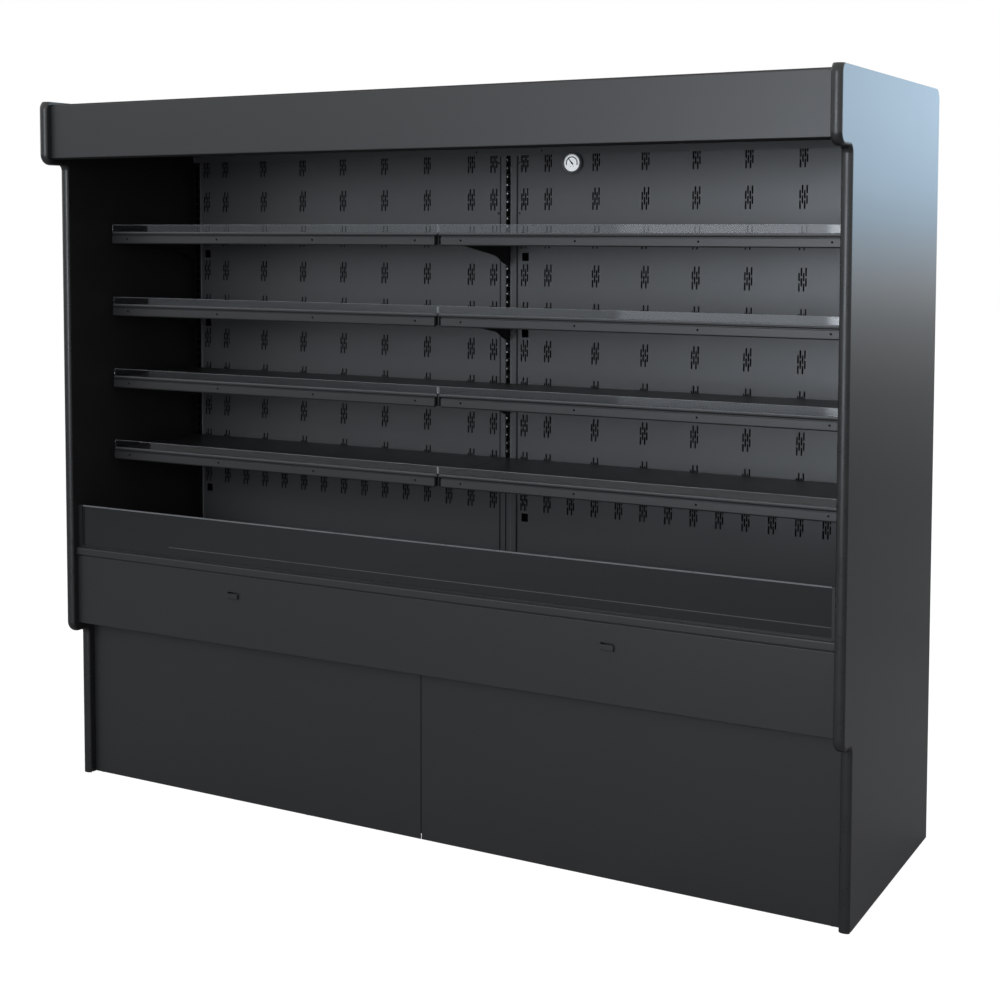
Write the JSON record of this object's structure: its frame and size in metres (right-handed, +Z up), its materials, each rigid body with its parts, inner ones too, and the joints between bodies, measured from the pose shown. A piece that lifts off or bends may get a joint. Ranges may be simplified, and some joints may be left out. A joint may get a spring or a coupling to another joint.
{
  "type": "open multideck display fridge",
  "caption": "Tall open-fronted chilled display cabinet with stepped end panels, a canopy, tiers of adjustable shelves, a front glass upstand and a machine base.",
  "frame": {"origin": "on the floor under the middle of the cabinet's bounding box", "axes": "+X to the right of someone facing the open front, -Y towards them, +Z up"},
  "size_m": [2.438, 0.913, 2.089],
  "materials": {
    "charcoal_steel": "semi-gloss dark charcoal powder coat with a fine orange peel",
    "inner_steel": "satin charcoal grey powder coat",
    "black_trim": "semi-gloss black extruded plastic",
    "black_steel": "satin black paint",
    "smoked_glass": "polished dark glass with a bright ground edge",
    "clear_plastic": "clear acrylic strip with polished edges",
    "zinc_steel": "galvanised sheet with a soft spangle",
    "aluminium": "mill finish aluminium fins",
    "black_enamel": "gloss black enamel",
    "grey_plastic": "moulded grey plastic",
    "dial_white": "white printed face in a clear edged rim",
    "lens_clear": "clear dial window",
    "needle_black": "matt black pointer"
  },
  "bodies": {
    "cabinet": {"end_panel_left": "charcoal_steel", "end_panel_right": "charcoal_steel", "back_wall": "charcoal_steel", "canopy_roof": "charcoal_steel", "canopy_fascia": "charcoal_steel", "front_panel": "charcoal_steel", "bumper_rail": "charcoal_steel", "rear_cover": "charcoal_steel", "edge_trim_left": "black_trim", "edge_trim_right": "black_trim", "glass_channel": "black_trim", "air_honeycomb": "black_trim", "insulated_tub": "black_steel", "return_grille": "black_steel", "base_frame": "black_steel", "condenser_shroud": "black_steel", "upright_left": "inner_steel", "upright_center": "inner_steel", "upright_right": "inner_steel", "back_panel_left": "inner_steel", "back_panel_right": "inner_steel", "canopy_ceiling": "inner_steel", "header_strip": "inner_steel", "canopy_light": "clear_plastic", "fan_plenum": "zinc_steel", "center_bulkhead": "zinc_steel", "machine_tray": "zinc_steel", "electrical_box": "zinc_steel", "drip_tray": "zinc_steel", "evaporator_coil": "aluminium", "condenser_coil": "aluminium", "compressor": "black_enamel", "thermometer_case": "dial_white", "thermometer_lens": "lens_clear"},
    "shelf_unit_1_left": {"shelf_1_left": "charcoal_steel", "shelf_riser_1_left": "clear_plastic"},
    "shelf_unit_1_right": {"shelf_1_right": "charcoal_steel", "shelf_riser_1_right": "clear_plastic"},
    "shelf_unit_2_left": {"shelf_2_left": "charcoal_steel", "shelf_riser_2_left": "clear_plastic"},
    "shelf_unit_2_right": {"shelf_2_right": "charcoal_steel", "shelf_riser_2_right": "clear_plastic"},
    "shelf_unit_3_left": {"shelf_3_left": "charcoal_steel", "shelf_riser_3_left": "clear_plastic"},
    "shelf_unit_3_right": {"shelf_3_right": "charcoal_steel", "shelf_riser_3_right": "clear_plastic"},
    "shelf_unit_4_left": {"shelf_4_left": "charcoal_steel", "shelf_riser_4_left": "clear_plastic"},
    "shelf_unit_4_right": {"shelf_4_right": "charcoal_steel", "shelf_riser_4_right": "clear_plastic"},
    "kick_cover_left": {"kick_panel_left": "charcoal_steel"},
    "deck_cover_left": {"deck_pan_left": "charcoal_steel"},
    "kick_cover_right": {"kick_panel_right": "charcoal_steel"},
    "deck_cover_right": {"deck_pan_right": "charcoal_steel"},
    "front_glass": {"riser_glass": "smoked_glass"},
    "condenser_impeller": {"condenser_fan": "grey_plastic"},
    "evaporator_impeller_left": {"evaporator_fan_left": "grey_plastic"},
    "evaporator_impeller_right": {"evaporator_fan_right": "grey_plastic"},
    "dial_pointer": {"thermometer_needle": "needle_black"}
  },
  "joints": [
    {"name": "shelf_1_left_tilt", "type": "hinge", "parent": "cabinet", "child": "shelf_unit_1_left", "pos_m": [0, 0.2505, 0.9996], "axis": [-1, 0, 0], "range_deg": [0, 12]},
    {"name": "shelf_1_right_tilt", "type": "hinge", "parent": "cabinet", "child": "shelf_unit_1_right", "pos_m": [0, 0.2505, 0.9996], "axis": [-1, 0, 0], "range_deg": [0, 12]},
    {"name": "shelf_2_left_tilt", "type": "hinge", "parent": "cabinet", "child": "shelf_unit_2_left", "pos_m": [0, 0.2505, 1.2258], "axis": [-1, 0, 0], "range_deg": [0, 12]},
    {"name": "shelf_2_right_tilt", "type": "hinge", "parent": "cabinet", "child": "shelf_unit_2_right", "pos_m": [0, 0.2505, 1.2258], "axis": [-1, 0, 0], "range_deg": [0, 12]},
    {"name": "shelf_3_left_tilt", "type": "hinge", "parent": "cabinet", "child": "shelf_unit_3_left", "pos_m": [0, 0.2505, 1.4519], "axis": [-1, 0, 0], "range_deg": [0, 12]},
    {"name": "shelf_3_right_tilt", "type": "hinge", "parent": "cabinet", "child": "shelf_unit_3_right", "pos_m": [0, 0.2505, 1.4519], "axis": [-1, 0, 0], "range_deg": [0, 12]},
    {"name": "shelf_4_left_tilt", "type": "hinge", "parent": "cabinet", "child": "shelf_unit_4_left", "pos_m": [0, 0.2505, 1.6781], "axis": [-1, 0, 0], "range_deg": [0, 12]},
    {"name": "shelf_4_right_tilt", "type": "hinge", "parent": "cabinet", "child": "shelf_unit_4_right", "pos_m": [0, 0.2505, 1.6781], "axis": [-1, 0, 0], "range_deg": [0, 12]},
    {"name": "kick_left_lift_off", "type": "slide", "parent": "cabinet", "child": "kick_cover_left", "axis": [0, -1, 0], "range_m": [0, 0.3]},
    {"name": "kick_right_lift_off", "type": "slide", "parent": "cabinet", "child": "kick_cover_right", "axis": [0, -1, 0], "range_m": [0, 0.3]},
    {"name": "deck_left_lift", "type": "slide", "parent": "cabinet", "child": "deck_cover_left", "axis": [0, 0, 1], "range_m": [0, 0.15]},
    {"name": "deck_right_lift", "type": "slide", "parent": "cabinet", "child": "deck_cover_right", "axis": [0, 0, 1], "range_m": [0, 0.15]},
    {"name": "front_glass_lift", "type": "slide", "parent": "cabinet", "child": "front_glass", "axis": [0, 0, 1], "range_m": [0, 0.14]},
    {"name": "condenser_fan_spin", "type": "hinge", "parent": "cabinet", "child": "condenser_impeller", "pos_m": [0.87, -0.0595, 0.2558], "axis": [0, 1, 0], "continuous": true},
    {"name": "evaporator_fan_left_spin", "type": "hinge", "parent": "cabinet", "child": "evaporator_impeller_left", "pos_m": [-0.5955, -0.0658, 0.59585], "axis": [0, 1, 0], "continuous": true},
    {"name": "evaporator_fan_right_spin", "type": "hinge", "parent": "cabinet", "child": "evaporator_impeller_right", "pos_m": [0.5955, -0.0658, 0.59585], "axis": [0, 1, 0], "continuous": true},
    {"name": "dial_pointer_turn", "type": "hinge", "parent": "cabinet", "child": "dial_pointer", "pos_m": [0.2105, 0.2455, 1.902], "axis": [0, 1, 0], "range_deg": [-90, 90]}
  ]
}
